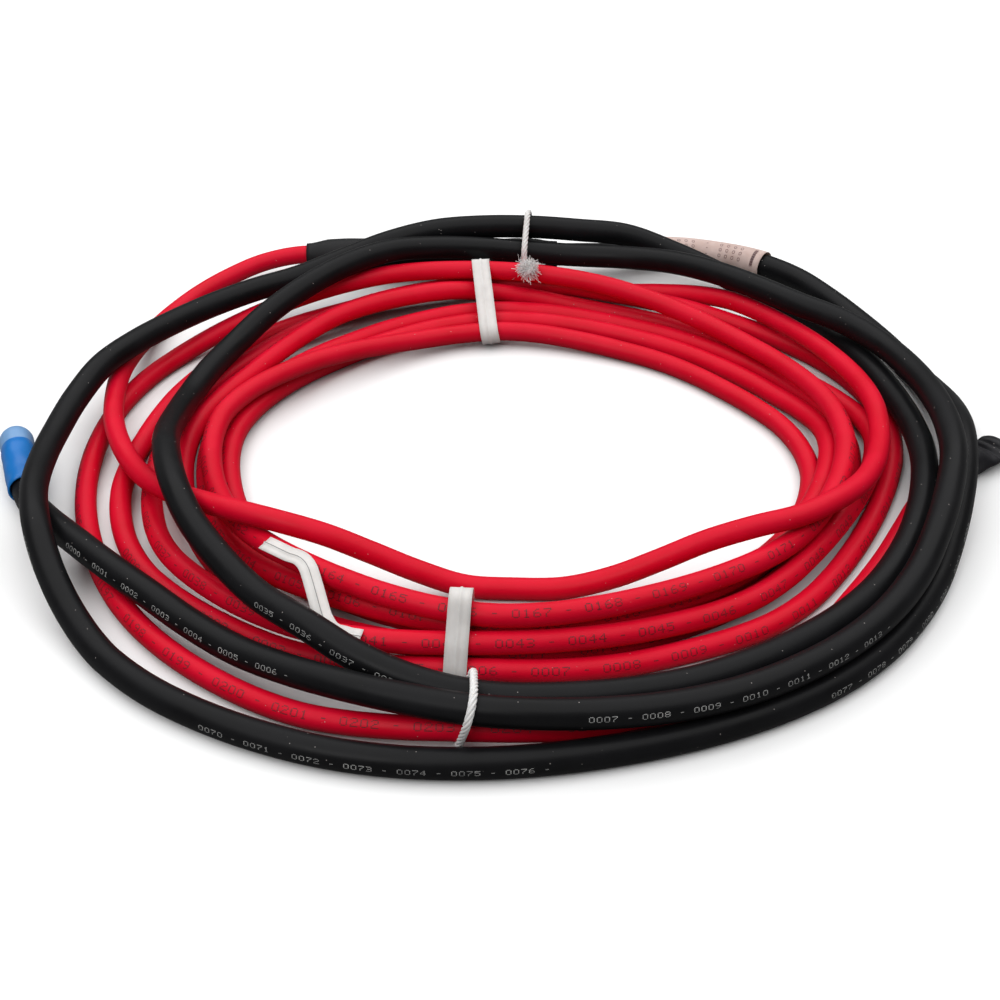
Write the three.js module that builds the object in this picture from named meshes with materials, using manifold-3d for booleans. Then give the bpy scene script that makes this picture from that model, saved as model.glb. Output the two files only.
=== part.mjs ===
import * as THREE from 'three';
import Module from 'manifold-3d';
import { mergeVertices } from 'three/addons/utils/BufferGeometryUtils.js';

// Underfloor heating cable, lying as a loose coil. Millimetres, +Z up, the floor is z = 0.
// The routes are measured from the middle of the turns. Angles run anticlockwise from +X,
// seen from above, and keep counting past 360 degrees along a cable. At the end the whole
// coil is moved, so that the origin is under the middle of its footprint.

// Cables
const HEATING_CABLE_DIAMETER = 7.0;
const HEATING_CABLE_SIDES = 8;
const HEATING_CABLE_STEP = 15;
const COLD_LEAD_DIAMETER = 8.9;
const COLD_LEAD_SIDES = 10;
const COLD_LEAD_STEP = 19;

// How the strands lie on each other
const STRAND_GAP = 0.5;
const SAMPLE_SPACING = 7;
const DRAPE_LENGTH = 21;
const SETTLING_ROUNDS = 60;

// Two pieces that are joined to each other don't lie on each other this near to the joint
const JOINT_REACH = 32;

// Gap between two pieces that fit each other
const FIT_CLEARANCE = 0.3;

// Facets round the turned pieces
const TURNED_SIDES = 24;

// Splice sleeve that joins the heating cable to the cold lead
const SLEEVE_DIAMETER = 13.0;
const SLEEVE_LENGTH = 99;
const SLEEVE_TAPER_LENGTH = 9;
const SLEEVE_LIP = 1.0;
const SLEEVE_SOCKET_DEPTH = 12;
const SLEEVE_CENTRE_X = -25;
const SLEEVE_CENTRE_Y = 124;

// Sealed end of the heating cable, pressed flat at its tip
const SEAL_DIAMETER = 9.6;
const SEAL_LENGTH = 30;
const SEAL_SOCKET_DEPTH = 10;
const SEAL_TIP_LENGTH = 13;
const SEAL_TIP_WIDTH = 13;
const SEAL_TIP_THICKNESS = 4.2;
const SEAL_TIP_END_WIDTH = 8.7;
const SEAL_TIP_CORNER = 3.3;
const SEAL_SHOULDER_TAPER = 6.5;
const SEAL_TIP_OVERLAP = 3.3;

// Cap on the free end of the cold lead
const CAP_DIAMETER = 11.5;
const CAP_LENGTH = 33;
const CAP_SOCKET_DEPTH = 14;
const CAP_TIP_RADIUS = 3.2;
const CAP_TIP_CHAMFER = 1.0;

// Paper label wrapped round the cold lead
const LABEL_LENGTH = 44;
const LABEL_FROM_SLEEVE = 42;
const LABEL_THICKNESS = 0.6;
const LABEL_CLEARANCE = 0.6;
const LABEL_SIDES = 12;

// Paper ties and cotton strings round the bundle
const TIE_WIDTH = 7;
const TIE_THICKNESS = 0.7;
const STRING_WIDTH = 2.4;
const STRING_THICKNESS = 1.6;
const BINDING_CLEARANCE = 0.4;
const BINDING_MARGIN = 5;
const BINDING_APPROACH = 12;
const BINDING_NEIGHBOURHOOD = 36;
const BINDING_CORNERS = 16;

// Routes: angle in degrees, distance from the coil's middle, and layer.
// Where two strands cross, the one in the higher layer lies on the other.
const HEATING_CABLE_TURNS = [
  [126, 150, 2.5], [142, 151, 2.5], [162, 138, 2.5], [180, 129, 2.5], [192, 122, 3],
  [208, 114, 3], [226, 104, 3], [247, 89, 2.5], [270, 84, 2], [290, 90, 2.5], [307, 102, 3.5],
  [321, 118, 4], [336, 126, 4], [360, 128, 3.5], [382, 125, 3], [405, 117.5, 1.5], [428, 110, 1],
  [450, 107, 1], [495, 107.5, 1], [520, 113, 1], [540, 118.5, 1], [558, 127, 1], [577, 131, 1],
  [605, 128, 1], [630, 124.4, 1], [652, 125.6, 1], [675, 130, 1], [720, 135, 1], [745, 128, 1],
  [765, 110, 1],
  [810, 99.2, 1], [855, 99.5, 1], [880, 105, 1], [900, 110.5, 1], [920, 117.5, 1], [940, 124, 1],
  [965, 126, 2], [990, 120.6, 2], [1012, 120.6, 2], [1035, 122.5, 1.6], [1080, 127, 1],
  [1125, 102.5, 1],
  [1170, 91.4, 1], [1215, 91.6, 1], [1260, 103, 1], [1305, 113, 1], [1350, 116.5, 1],
  [1395, 117.5, 1], [1440, 119, 1], [1485, 94.8, 1], [1530, 83.6, 1], [1575, 83.8, 1],
  [1620, 95.5, 1], [1665, 105, 1.5], [1710, 112.7, 2], [1755, 112.5, 1.5], [1800, 110.8, 1],
  [1845, 87, 1], [1890, 75.8, 1], [1935, 76, 1], [1980, 88, 1], [2025, 97, 1],
  [2070, 108.3, 1], [2115, 108.6, 1], [2143, 107.5, 1], [2160, 101, 1], [2179, 87.5, 1],
  [2205, 76, 1], [2250, 68, 1], [2295, 68.2, 1.5], [2340, 92, 2], [2385, 104, 2.5],
  [2430, 116.5, 3], [2475, 118, 2.2], [2503, 117, 2], [2520, 113.5, 2], [2542, 105, 2.5],
  [2565, 98.5, 3], [2588, 95.5, 2.6], [2610, 96, 2.4], [2640, 105, 2.2], [2664, 120, 1.8],
  [2680, 129, 1], [2700, 134, 1], [2722, 139, 1], [2745, 146, 1], [2768, 150.5, 1],
  [2790, 150, 1], [2810, 148.5, 0.8], [2825, 146, 0.6],
];
const HEATING_CABLE_END = [
  [108, -88, 0.5], [121, -68, 0.5], [132, -48.5, 0.5], [141, -34, 0.5],
];
const SEAL_TIP = [171, -5];

const CAP_TIP = [-162.5, -3];
const COLD_LEAD_START = [
  [-151, -37.5, 0.5],
];
const COLD_LEAD_TURNS = [
  [200, 152, 1.4], [211, 145, 1.6], [225, 140, 1.8], [240, 141.5, 2], [255, 147, 2.4],
  [270, 152.5, 3], [286, 156, 3.2], [302, 157.5, 3.6], [320, 156, 4], [341, 151, 4.2],
  [352, 148, 4.2], [366, 143.5, 4.2], [378, 138, 4.2], [388, 127.5, 4.2], [401, 121, 4],
  [421, 119, 3.5], [437, 115.5, 3.2], [450, 112, 3.2], [470, 107, 3.2], [487, 103, 3.4],
  [508, 104, 3.8], [530, 105, 4.4], [550, 108, 5], [566, 113, 5], [579, 119, 5],
  [591, 124, 4.4], [603, 130, 3.4], [615, 137, 2.8], [630, 143.5, 2.6], [650, 147, 2.4],
  [671, 147, 2.2], [690, 145, 2], [709, 142, 2], [725, 138.5, 1.8], [740, 137, 1.4],
  [755, 141, 1.2], [768, 142.5, 1.2], [777, 139, 1.4], [786, 133, 2.6], [795, 127, 4],
  [808, 121.5, 4.2], [828, 117, 4.2], [840, 116, 4.2], [850, 118, 4.2], [866, 125, 4.4],
  [880, 131, 4.8], [894, 139.5, 5], [908, 146, 5], [920, 153, 4.6], [934, 158.5, 1.2],
  [952, 163, 1], [972, 163, 1], [990, 160.5, 1], [1012, 159, 1], [1029, 160, 1],
  [1042, 158, 1.5], [1056, 155, 2.2], [1070, 154.5, 2.8], [1084, 155, 2.6], [1096, 155.5, 1.5],
  [1110, 157.5, 1], [1125, 161.5, 1], [1136, 158, 1],
];
const COLD_LEAD_END = [
  [61, 131.5, 1], [48, 126, 1],
];

// Bindings: angle, the strands' range of distance from the middle, and whose strands they hold
const BACK_TIE = { angle: 92, from: 60, to: 110, holds: ['heating_cable'] };
const FRONT_TIE = { angle: 265, from: 100, to: 134, holds: ['heating_cable'] };
const BACK_STRING = { angle: 84, from: 108, to: 134, holds: ['cold_lead', 'splice_sleeve'] };
const FRONT_STRING = { angle: 267, from: 136, to: 157, holds: ['cold_lead', 'heating_cable'] };
const BINDINGS = [BACK_TIE, FRONT_TIE, BACK_STRING, FRONT_STRING];
const BINDING_LIFT = STRING_THICKNESS + 2 * BINDING_CLEARANCE;

const degrees = THREE.MathUtils.degToRad;
const lerp = THREE.MathUtils.lerp;

// Routes: x and y are the place in plan, z is the layer
function polarPoint([angle, radius, layer]) {
  const turn = degrees(angle);
  return new THREE.Vector3(radius * Math.cos(turn), radius * Math.sin(turn), layer);
}

function planPoint([x, y, layer]) {
  return new THREE.Vector3(x, y, layer);
}

// Height of a polygonal tube's middle when one of its flat sides lies on the floor
function restingHeight(radius, sides) {
  return radius * Math.cos(Math.PI / sides);
}

// A strand is a cable's route cut into short samples, or a straight rigid piece on it
function makeStrand(name, radius, height, points, spacing) {
  const route = new THREE.CatmullRomCurve3(points, false, 'centripetal');
  const count = Math.round(route.getLength() / spacing);
  const places = route.getSpacedPoints(count);
  let angle = (THREE.MathUtils.radToDeg(Math.atan2(places[0].y, places[0].x)) + 360) % 360;
  const samples = places.map((place, index) => {
    const turn = THREE.MathUtils.radToDeg(Math.atan2(place.y, place.x)) - angle;
    angle += turn - 360 * Math.round(turn / 360);
    return {
      x: place.x,
      y: place.y,
      radius: Math.hypot(place.x, place.y),
      angle,
      layer: place.z,
      along: index * route.getLength() / count,
      floor: height,
      height,
      held: new Set(),
      under: new Set(),
      loads: [],
    };
  });
  const length = route.getLength();
  return { name, radius, samples, lowest: height, length, rigid: false, ends: [] };
}

function makeRigidStrand(name, radius, height, from, to, layer, ends) {
  const strand = makeStrand(name, radius, height, [
    new THREE.Vector3(from.x, from.y, layer),
    new THREE.Vector3(to.x, to.y, layer),
  ], SAMPLE_SPACING);
  return { ...strand, rigid: true, ends };
}

const NEIGHBOURS = [[1, 1], [1, 0], [0, 1], [-1, -1], [-1, 0], [0, -1], [1, -1], [-1, 1]];

function areJoined(upper, upperSample, lower, lowerSample) {
  if (upper === lower) {
    return Math.abs(upperSample.along - lowerSample.along) < JOINT_REACH;
  }
  const [piece, cable, sample] = upper.rigid
    ? [upper, lower, lowerSample]
    : [lower, upper, upperSample];
  return piece.ends.some(({ name, atStart }) => name === cable.name
    && (atStart ? sample.along : cable.length - sample.along) < JOINT_REACH);
}

// A binding runs between a strand that it holds and one that it doesn't hold
function gapBetween(sample, other) {
  const passes = BINDINGS.some((binding) => (sample.under.has(binding) && !other.held.has(binding))
    || (other.under.has(binding) && !sample.held.has(binding)));
  return passes ? STRAND_GAP + BINDING_LIFT : STRAND_GAP;
}

// Where a sample stands beside a part of a strand: how far along it, and how far sideways
function besides(sample, from, to) {
  const dx = to.x - from.x;
  const dy = to.y - from.y;
  const share = THREE.MathUtils.clamp(
    ((sample.x - from.x) * dx + (sample.y - from.y) * dy) / (dx * dx + dy * dy), 0, 1);
  const sideways = Math.hypot(sample.x - from.x - share * dx, sample.y - from.y - share * dy);
  return { share, sideways };
}

// Parts of the lower strand, next to one of its samples, that are too near to lie beside a sample
function partsUnder(upper, sample, lower, lowerIndex) {
  const around = lower.samples.slice(Math.max(0, lowerIndex - 1), lowerIndex + 2);
  return around.slice(1).flatMap((to, index) => {
    const from = around[index];
    const reach = upper.radius + lower.radius + gapBetween(sample, from);
    const { share, sideways } = besides(sample, from, to);
    return sideways < reach
      ? [{ from, to, share, lift: Math.sqrt(reach * reach - sideways * sideways) }]
      : [];
  });
}

// Pairs of samples of two strands that are too near to lie side by side
function findContacts(first, second) {
  const contacts = new Map();
  const reach = first.radius + second.radius + STRAND_GAP + BINDING_LIFT + SAMPLE_SPACING;
  first.samples.forEach((sample, index) => {
    second.samples.forEach((other, otherIndex) => {
      const isNear = Math.abs(other.x - sample.x) < reach && Math.abs(other.y - sample.y) < reach;
      const isNew = first !== second || otherIndex > index;
      if (isNear && isNew && !areJoined(first, sample, second, other)
        && partsUnder(first, sample, second, otherIndex).length > 0) {
        contacts.set(`${index} ${otherIndex}`, [index, otherIndex]);
      }
    });
  });
  return contacts;
}

// Takes out of the contacts one stretch along which the same two strands stay together
function takeStretch(contacts) {
  const [key, contact] = contacts.entries().next().value;
  contacts.delete(key);
  const stretch = [contact];
  for (const [index, otherIndex] of stretch) {
    for (const [step, otherStep] of NEIGHBOURS) {
      const neighbour = `${index + step} ${otherIndex + otherStep}`;
      if (contacts.has(neighbour)) {
        stretch.push(contacts.get(neighbour));
        contacts.delete(neighbour);
      }
    }
  }
  return stretch;
}

// The strand with the higher layers, over a whole stretch, lies on the other all along it
function findLoads(strands) {
  strands.forEach((first, number) => {
    for (const second of strands.slice(number)) {
      const contacts = findContacts(first, second);
      while (contacts.size > 0) {
        const stretch = takeStretch(contacts);
        const excess = stretch.reduce((sum, [index, otherIndex]) =>
          sum + first.samples[index].layer - second.samples[otherIndex].layer, 0);
        for (const [index, otherIndex] of stretch) {
          const [upper, sample, lower, lowerIndex] = excess > 0
            ? [first, first.samples[index], second, otherIndex]
            : [second, second.samples[otherIndex], first, index];
          sample.loads.push(...partsUnder(upper, sample, lower, lowerIndex));
        }
      }
    }
  });
}

// A stiff cable bridges: its height is the mean of the highest supports near each place
function drape(strand) {
  const span = Math.round(DRAPE_LENGTH / SAMPLE_SPACING);
  const supports = strand.samples.map((sample) => sample.fixed ?? sample.loads.reduce(
    (height, { from, to, share, lift }) => Math.max(height, lerp(from.height, to.height, share) + lift),
    sample.floor));
  const near = (values, index) => values.slice(Math.max(0, index - span), index + span + 1);
  const crests = strand.samples.map(({ fixed }, index) => fixed ?? Math.max(...near(supports, index)));
  strand.samples.forEach((sample, index) => {
    const reach = near(crests, index);
    sample.height = sample.fixed ?? reach.reduce((sum, crest) => sum + crest, 0) / reach.length;
  });
}

// Notes the bindings that hold each sample, and lifts it off the floor where one runs under it
function bind(strand) {
  for (const sample of strand.samples) {
    for (const binding of BINDINGS.filter(({ holds }) => holds.includes(strand.name))) {
      const [x, y] = planOf(binding, sample);
      if (x < binding.from || x > binding.to) {
        continue;
      }
      if (Math.abs(y) < BINDING_NEIGHBOURHOOD) {
        sample.held.add(binding);
      }
      if (Math.abs(y) < BINDING_APPROACH) {
        sample.under.add(binding);
        sample.floor = Math.max(sample.floor, strand.radius + BINDING_LIFT);
      }
    }
  }
}

// The part of the cold lead that the label is wrapped round
function labelledSamples(lead) {
  const end = lead.length - SLEEVE_SOCKET_DEPTH - LABEL_FROM_SLEEVE;
  const start = end - LABEL_LENGTH;
  return lead.samples.filter(({ along }) =>
    along > start - COLD_LEAD_STEP && along < end + COLD_LEAD_STEP);
}

// Place of a sample in a binding's own frame: outwards from the coil's middle, and across
function planOf({ angle }, { x, y }) {
  const turn = degrees(angle);
  return [x * Math.cos(turn) + y * Math.sin(turn), y * Math.cos(turn) - x * Math.sin(turn)];
}

// Holds a cable's end at the height of the piece whose socket it is in
function meet(strand, pieces) {
  for (const piece of pieces) {
    for (const end of piece.ends.filter(({ name }) => name === strand.name)) {
      for (const sample of strand.samples) {
        const reach = end.atStart ? sample.along : strand.length - sample.along;
        if (reach < end.depth + 2 * SAMPLE_SPACING) {
          sample.fixed = piece.samples[0].height;
        }
      }
    }
  }
}

function settle(cables, pieces) {
  [...cables, ...pieces].forEach(bind);
  cables.forEach((cable) => meet(cable, pieces));
  findLoads([...cables, ...pieces]);
  for (let round = 0; round < SETTLING_ROUNDS; round += 1) {
    cables.forEach(drape);
  }
}

// A tube's path that goes no lower than a given height, and keeps a flat side of the tube down
class LevelPath extends THREE.CatmullRomCurve3 {
  constructor(points, lowest) {
    super(points, false, 'centripetal');
    this.lowest = lowest;
  }

  getPoint(share, target) {
    const point = super.getPoint(share, target);
    point.z = Math.max(point.z, this.lowest);
    return point;
  }

  computeFrenetFrames(segments) {
    return this.framesAt(Array.from({ length: segments + 1 }, (_, index) => index / segments));
  }

  framesAt(shares) {
    const up = new THREE.Vector3(0, 0, 1);
    const frames = { tangents: [], normals: [], binormals: [] };
    for (const share of shares) {
      const tangent = this.getTangentAt(share);
      const normal = up.clone().cross(tangent).normalize();
      frames.tangents.push(tangent);
      frames.normals.push(normal);
      frames.binormals.push(tangent.clone().cross(normal).normalize());
    }
    return frames;
  }
}

// A stretch of a path, on the straight pieces between the rings of the cable that follows it
class PathStretch extends THREE.Curve {
  constructor(path, steps, from, to) {
    super();
    const rings = Array.from({ length: steps + 1 }, (_, ring) => ring / steps);
    const inside = rings.filter((share) => share > from + 0.1 / steps && share < to - 0.1 / steps);
    this.path = path;
    this.steps = steps;
    this.shares = [from, ...inside, to];
  }

  getSpacedPoints() {
    return this.shares.map((share) => {
      const before = Math.min(Math.floor(share * this.steps), this.steps - 1);
      const start = this.path.getPointAt(before / this.steps);
      const end = this.path.getPointAt((before + 1) / this.steps);
      return start.lerp(end, share * this.steps - before);
    });
  }

  computeFrenetFrames() {
    return this.path.framesAt(this.shares);
  }
}

function polygon(radius, sides) {
  const shape = new THREE.Shape();
  for (let side = 0; side < sides; side += 1) {
    const turn = 2 * Math.PI * (side + 0.5) / sides - Math.PI / 2;
    const corner = [radius * Math.cos(turn), radius * Math.sin(turn)];
    if (side === 0) {
      shape.moveTo(...corner);
    } else {
      shape.lineTo(...corner);
    }
  }
  shape.closePath();
  return shape;
}

function pathOf(strand) {
  const places = strand.samples.map((sample) => new THREE.Vector3(sample.x, sample.y, sample.height));
  const path = new LevelPath(places, strand.lowest);
  path.arcLengthDivisions = 20 * places.length;
  return path;
}

function cableGeometry(strand, sides, step) {
  const path = pathOf(strand);
  return new THREE.ExtrudeGeometry(polygon(strand.radius, sides), {
    steps: Math.round(path.getLength() / step),
    curveSegments: 1,
    extrudePath: path,
  });
}

function named(name, geometry, color, roughness) {
  const material = new THREE.MeshStandardMaterial({ color, roughness, metalness: 0 });
  const mesh = new THREE.Mesh(geometry, material);
  mesh.name = name;
  return mesh;
}

// Makes a mesh's doubled corners one, for a boolean
function toManifold(wasm, geometry) {
  const bare = geometry.clone();
  bare.deleteAttribute('normal');
  bare.deleteAttribute('uv');
  const merged = mergeVertices(bare, 1e-4);
  return new wasm.Manifold(new wasm.Mesh({
    numProp: 3,
    vertProperties: new Float32Array(merged.attributes.position.array),
    triVerts: new Uint32Array(merged.index.array),
  }));
}

function fromManifold(solid) {
  const { vertProperties, triVerts } = solid.getMesh();
  const geometry = new THREE.BufferGeometry();
  geometry.setAttribute('position', new THREE.BufferAttribute(vertProperties, 3));
  geometry.setIndex(new THREE.BufferAttribute(triVerts, 1));
  return geometry;
}

// A turned piece stands along +Y until it is laid with its mouth at one place, towards another
function layAlong(mesh, mouth, towards, height) {
  const direction = new THREE.Vector3(towards.x - mouth.x, towards.y - mouth.y, 0).normalize();
  const across = new THREE.Vector3(0, 0, 1).cross(direction);
  const turned = new THREE.Matrix4().makeBasis(across.negate(), direction, new THREE.Vector3(0, 0, 1));
  mesh.quaternion.setFromRotationMatrix(turned);
  mesh.position.set(mouth.x, mouth.y, height);
}

function turned(profile) {
  return new THREE.LatheGeometry(profile.map(([x, y]) => new THREE.Vector2(x, y)), TURNED_SIDES);
}

function sleeveGeometry() {
  const left = HEATING_CABLE_DIAMETER / 2 + FIT_CLEARANCE;
  const right = COLD_LEAD_DIAMETER / 2 + FIT_CLEARANCE;
  return turned([
    [0, SLEEVE_SOCKET_DEPTH],
    [left, SLEEVE_SOCKET_DEPTH],
    [left, 0],
    [left + SLEEVE_LIP, 0],
    [SLEEVE_DIAMETER / 2, SLEEVE_TAPER_LENGTH],
    [SLEEVE_DIAMETER / 2, SLEEVE_LENGTH - SLEEVE_TAPER_LENGTH],
    [right + SLEEVE_LIP, SLEEVE_LENGTH],
    [right, SLEEVE_LENGTH],
    [right, SLEEVE_LENGTH - SLEEVE_SOCKET_DEPTH],
    [0, SLEEVE_LENGTH - SLEEVE_SOCKET_DEPTH],
  ]);
}

// Round body with the cable's socket, and a tip pressed flat that grows wider than the body
function sealGeometry(wasm) {
  const bore = HEATING_CABLE_DIAMETER / 2 + FIT_CLEARANCE;
  const shoulder = SEAL_LENGTH - SEAL_TIP_LENGTH;
  const body = turned([
    [0, SEAL_SOCKET_DEPTH],
    [bore, SEAL_SOCKET_DEPTH],
    [bore, 0],
    [SEAL_DIAMETER / 2, 0],
    [SEAL_DIAMETER / 2, shoulder],
    [SEAL_TIP_THICKNESS / 2, shoulder + SEAL_SHOULDER_TAPER],
    [0, shoulder + SEAL_SHOULDER_TAPER],
  ]);
  const outline = new THREE.Shape();
  outline.moveTo(-SEAL_DIAMETER / 2, shoulder - SEAL_TIP_OVERLAP);
  outline.lineTo(SEAL_DIAMETER / 2, shoulder - SEAL_TIP_OVERLAP);
  outline.lineTo(SEAL_TIP_WIDTH / 2, SEAL_LENGTH - SEAL_TIP_CORNER);
  outline.lineTo(SEAL_TIP_END_WIDTH / 2, SEAL_LENGTH);
  outline.lineTo(-SEAL_TIP_END_WIDTH / 2, SEAL_LENGTH);
  outline.lineTo(-SEAL_TIP_WIDTH / 2, SEAL_LENGTH - SEAL_TIP_CORNER);
  outline.closePath();
  const tip = new THREE.ExtrudeGeometry(outline, { depth: SEAL_TIP_THICKNESS, bevelEnabled: false });
  tip.translate(0, 0, -SEAL_TIP_THICKNESS / 2);
  return fromManifold(toManifold(wasm, body).add(toManifold(wasm, tip)));
}

function capGeometry() {
  const bore = COLD_LEAD_DIAMETER / 2 + FIT_CLEARANCE;
  const outer = CAP_DIAMETER / 2;
  return turned([
    [0, CAP_SOCKET_DEPTH],
    [bore, CAP_SOCKET_DEPTH],
    [bore, 0],
    [outer, 0],
    [outer, CAP_LENGTH - CAP_TIP_RADIUS],
    [outer - CAP_TIP_CHAMFER, CAP_LENGTH - CAP_TIP_CHAMFER],
    [outer - CAP_TIP_RADIUS, CAP_LENGTH],
    [0, CAP_LENGTH],
  ]);
}

// The label bends where the cold lead's rings are, so it keeps clear of it all round
function labelGeometry(lead) {
  const leadPath = pathOf(lead);
  const leadLength = leadPath.getLength();
  const leadSteps = Math.round(leadLength / COLD_LEAD_STEP);
  const end = leadLength - SLEEVE_SOCKET_DEPTH - LABEL_FROM_SLEEVE;
  const start = end - LABEL_LENGTH;
  const stretch = new PathStretch(leadPath, leadSteps, start / leadLength, end / leadLength);
  const inner = COLD_LEAD_DIAMETER / 2 + LABEL_CLEARANCE;
  const shape = polygon(inner + LABEL_THICKNESS, LABEL_SIDES);
  shape.holes.push(polygon(inner, LABEL_SIDES));
  return new THREE.ExtrudeGeometry(shape, {
    steps: stretch.shares.length - 1,
    curveSegments: 1,
    extrudePath: stretch,
  });
}

// Convex outline round a set of points, anticlockwise
function hullOf(points) {
  const sorted = [...points].sort((a, b) => a.x - b.x || a.y - b.y);
  const half = (list) => list.reduce((chain, point) => {
    while (chain.length > 1) {
      const [before, last] = chain.slice(-2);
      const turn = (last.x - before.x) * (point.y - before.y)
        - (last.y - before.y) * (point.x - before.x);
      if (turn > 1e-6) {
        break;
      }
      chain.pop();
    }
    return [...chain, point];
  }, []);
  return [...half(sorted).slice(0, -1), ...half(sorted.reverse()).slice(0, -1)];
}

// Places between two samples where a binding's circles are taken
const SHARES = [0, 0.25, 0.5, 0.75];

// Cross-section of the strands that a binding holds, as circles in its own frame
function heldCircles(strands, binding, width) {
  const circles = [];
  for (const strand of strands.filter(({ name }) => binding.holds.includes(name))) {
    for (let index = 0; index + 1 < strand.samples.length; index += 1) {
      const start = strand.samples[index];
      const end = strand.samples[index + 1];
      for (const share of SHARES) {
        const [x, across] = planOf(binding, {
          x: lerp(start.x, end.x, share),
          y: lerp(start.y, end.y, share),
        });
        if (x > binding.from && x < binding.to && Math.abs(across) < width / 2 + BINDING_MARGIN) {
          circles.push({ x, y: lerp(start.height, end.height, share), radius: strand.radius });
        }
      }
    }
  }
  return circles;
}

function bindingMesh(name, strands, binding, width, thickness, color) {
  const circles = heldCircles(strands, binding, width);
  const outlineAt = (offset) => new THREE.Shape(hullOf(circles.flatMap(({ x, y, radius }) => {
    const reach = radius + offset;
    const corners = [];
    for (let corner = 0; corner < BINDING_CORNERS; corner += 1) {
      const turn = 2 * Math.PI * corner / BINDING_CORNERS;
      corners.push(new THREE.Vector2(x + reach * Math.cos(turn), y + reach * Math.sin(turn)));
    }
    return corners;
  })));
  const shape = outlineAt(BINDING_CLEARANCE + thickness);
  shape.holes.push(outlineAt(BINDING_CLEARANCE));
  const geometry = new THREE.ExtrudeGeometry(shape, {
    depth: width,
    bevelEnabled: false,
    curveSegments: 1,
  });
  geometry.translate(0, 0, -width / 2);
  const mesh = named(name, geometry, color, 0.8);
  const turn = degrees(binding.angle);
  const outwards = new THREE.Vector3(Math.cos(turn), Math.sin(turn), 0);
  const up = new THREE.Vector3(0, 0, 1);
  const across = outwards.clone().cross(up);
  mesh.quaternion.setFromRotationMatrix(new THREE.Matrix4().makeBasis(outwards, up, across));
  return mesh;
}

const wasm = await Module();
wasm.setup();

// Pieces at the cables' ends, at the heights they lie at
const sleeveHeight = SLEEVE_DIAMETER / 2 + BINDING_LIFT;
const sleeveLeft = new THREE.Vector2(SLEEVE_CENTRE_X - SLEEVE_LENGTH / 2, SLEEVE_CENTRE_Y);
const sleeveRight = new THREE.Vector2(SLEEVE_CENTRE_X + SLEEVE_LENGTH / 2, SLEEVE_CENTRE_Y);
const sealHeight = SEAL_DIAMETER / 2;
const sealTip = new THREE.Vector2(...SEAL_TIP);
const capHeight = CAP_DIAMETER / 2;
const capTip = new THREE.Vector2(...CAP_TIP);

// Place at some length from a tip, on the straight line towards a route's point
function mouthOf(tip, [x, y], length) {
  return tip.clone().add(new THREE.Vector2(x - tip.x, y - tip.y).setLength(length));
}

const sealMouth = mouthOf(sealTip, HEATING_CABLE_END.at(-1), SEAL_LENGTH);
const capMouth = mouthOf(capTip, COLD_LEAD_START[0], CAP_LENGTH);

// End of a cable inside its socket, and its first place outside
function socketPoints(mouth, towards, depth, layer) {
  const inwards = new THREE.Vector2(towards.x - mouth.x, towards.y - mouth.y)
    .setLength(depth - FIT_CLEARANCE);
  return [
    new THREE.Vector3(mouth.x + inwards.x, mouth.y + inwards.y, layer),
    new THREE.Vector3(mouth.x, mouth.y, layer),
  ];
}

const heatingCable = makeStrand('heating_cable', HEATING_CABLE_DIAMETER / 2,
  restingHeight(HEATING_CABLE_DIAMETER / 2, HEATING_CABLE_SIDES), [
    ...socketPoints(sleeveLeft, sleeveRight, SLEEVE_SOCKET_DEPTH, 1),
    ...HEATING_CABLE_TURNS.map(polarPoint),
    ...HEATING_CABLE_END.map(planPoint),
    ...socketPoints(sealMouth, sealTip, SEAL_SOCKET_DEPTH, 0.5).reverse(),
  ], SAMPLE_SPACING);
const coldLead = makeStrand('cold_lead', COLD_LEAD_DIAMETER / 2,
  restingHeight(COLD_LEAD_DIAMETER / 2, COLD_LEAD_SIDES), [
    ...socketPoints(capMouth, capTip, CAP_SOCKET_DEPTH, 0.5),
    ...COLD_LEAD_START.map(planPoint),
    ...COLD_LEAD_TURNS.map(polarPoint),
    ...COLD_LEAD_END.map(planPoint),
    ...socketPoints(sleeveRight, sleeveLeft, SLEEVE_SOCKET_DEPTH, 1).reverse(),
  ], SAMPLE_SPACING);
const sleeve = makeRigidStrand('splice_sleeve', SLEEVE_DIAMETER / 2,
  sleeveHeight, sleeveLeft, sleeveRight, 1, [
    { name: 'heating_cable', atStart: true, depth: SLEEVE_SOCKET_DEPTH },
    { name: 'cold_lead', atStart: false, depth: SLEEVE_SOCKET_DEPTH },
  ]);
const seal = makeRigidStrand('end_seal', SEAL_TIP_WIDTH / 2,
  sealHeight, sealMouth, sealTip, 0.4, [
    { name: 'heating_cable', atStart: false, depth: SEAL_SOCKET_DEPTH },
  ]);
const cap = makeRigidStrand('lead_end_cap', CAP_DIAMETER / 2,
  capHeight, capMouth, capTip, 0.4, [
    { name: 'cold_lead', atStart: true, depth: CAP_SOCKET_DEPTH },
  ]);

for (const sample of labelledSamples(coldLead)) {
  sample.floor = COLD_LEAD_DIAMETER / 2 + LABEL_CLEARANCE + LABEL_THICKNESS;
}
settle([heatingCable, coldLead], [sleeve, seal, cap]);

const group = new THREE.Group();
group.add(named('heating_cable',
  cableGeometry(heatingCable, HEATING_CABLE_SIDES, HEATING_CABLE_STEP), '#c4122c', 0.45));
group.add(named('cold_lead', cableGeometry(coldLead, COLD_LEAD_SIDES, COLD_LEAD_STEP), '#161617', 0.4));

const sleeveMesh = named('splice_sleeve', sleeveGeometry(), '#121213', 0.5);
layAlong(sleeveMesh, sleeveLeft, sleeveRight, sleeveHeight);
group.add(sleeveMesh);

const sealMesh = named('end_seal', sealGeometry(wasm), '#17181a', 0.45);
layAlong(sealMesh, sealMouth, sealTip, sealHeight);
group.add(sealMesh);

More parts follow.
